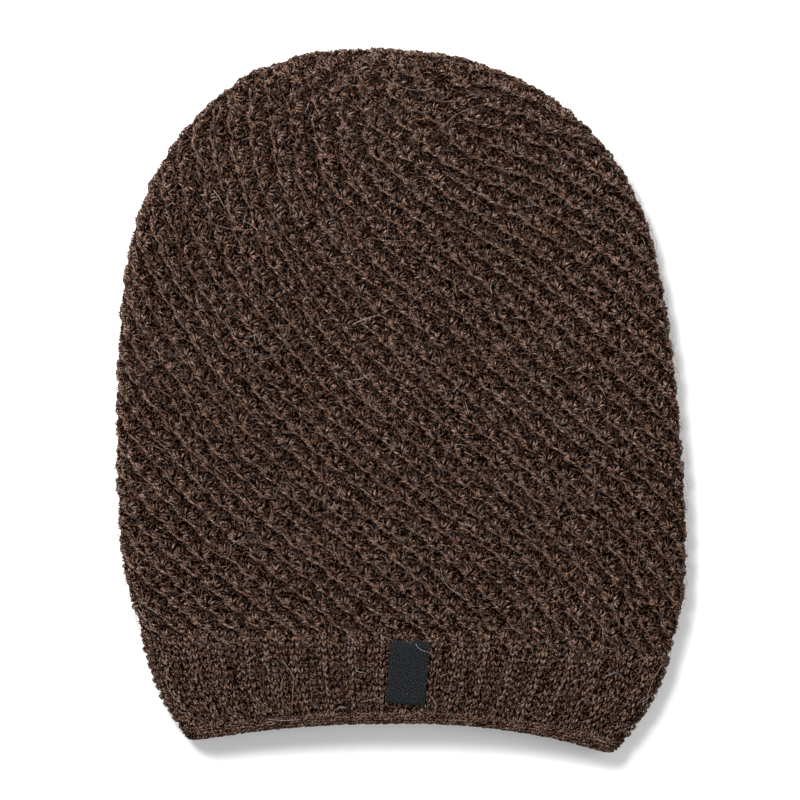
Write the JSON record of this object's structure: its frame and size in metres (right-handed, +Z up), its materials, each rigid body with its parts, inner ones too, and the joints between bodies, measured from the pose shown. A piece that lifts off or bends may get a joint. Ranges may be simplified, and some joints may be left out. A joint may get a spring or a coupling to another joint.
{
  "type": "beanie",
  "caption": "Slouchy knitted beanie lying flat, marled dark brown wool in slanting rows of clusters, with a fine-knit band and a small black woven label.",
  "frame": {"origin": "on the floor, under the middle of the box round the lying hat", "axes": "+Y from the open rim to the crown, +X to the right of the face seen from above, +Z up from the floor"},
  "size_m": [0.26, 0.3206, 0.0267],
  "materials": {
    "body_wool": "marled brown wool knitted in clusters, soft and fuzzy",
    "band_wool": "the same wool in a fine close knit, soft and fuzzy",
    "label_cloth": "smooth black woven tape"
  },
  "bodies": {
    "root": {"body": "body_wool", "band": "band_wool", "label": "label_cloth"}
  },
  "joints": []
}
